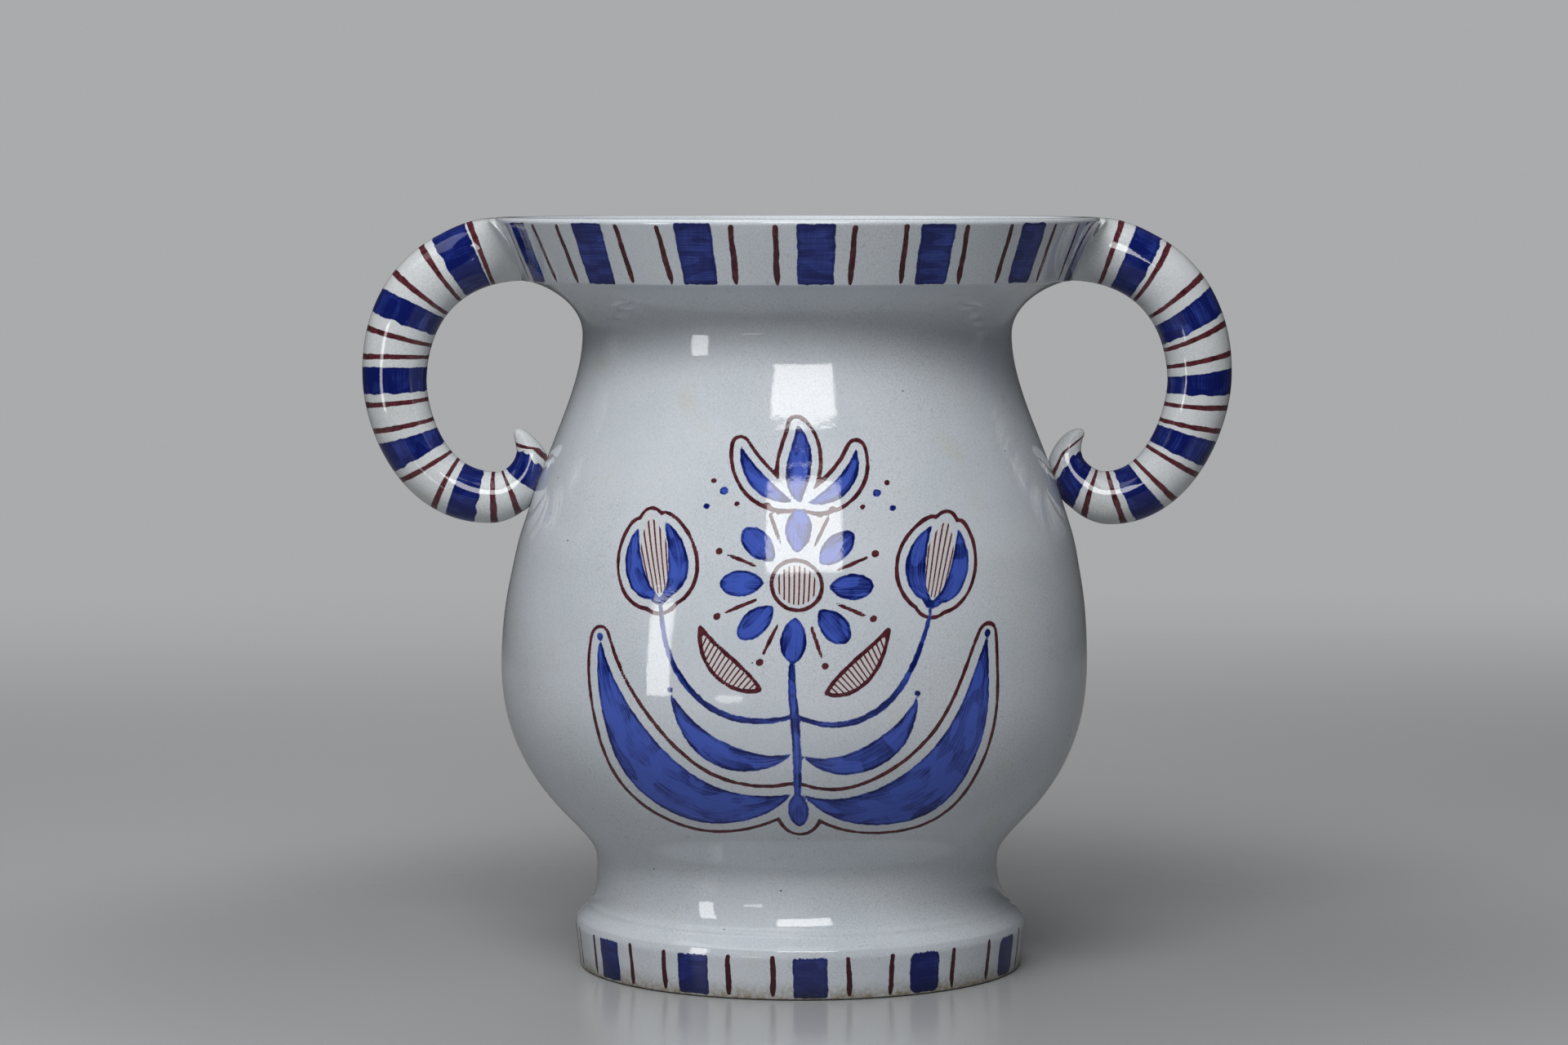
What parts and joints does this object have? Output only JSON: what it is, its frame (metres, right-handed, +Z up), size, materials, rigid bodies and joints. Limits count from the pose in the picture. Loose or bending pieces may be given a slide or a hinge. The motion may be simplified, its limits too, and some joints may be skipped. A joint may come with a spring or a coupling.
{
  "type": "floor vase",
  "caption": "Wheel-thrown glazed earthenware floor vase with a hollow pedestal foot, a flaring mouth collar and a loop handle on each side.",
  "frame": {"origin": "centre of the foot on the floor, on the axis of the pot", "axes": "+Z up along the axis of the pot, +X towards the right handle, +Y towards the back, away from the painted side"},
  "size_m": [0.522, 0.363, 0.45],
  "materials": {
    "foot_glaze": "glossy cool white tin glaze with cobalt blue and red-brown stripes, stained along the floor",
    "body_glaze": "glossy cool white tin glaze, finely crazed, with a painted flower in cobalt blue and red-brown",
    "collar_glaze": "glossy white tin glaze with cobalt blue and red-brown stripes, worn thin along the lip",
    "handle_glaze": "glossy warm white tin glaze with cobalt blue and red-brown stripes"
  },
  "bodies": {
    "root": {"pedestal_foot": "foot_glaze", "body": "body_glaze", "rim_collar": "collar_glaze", "left_handle": "handle_glaze", "right_handle": "handle_glaze"}
  },
  "joints": []
}
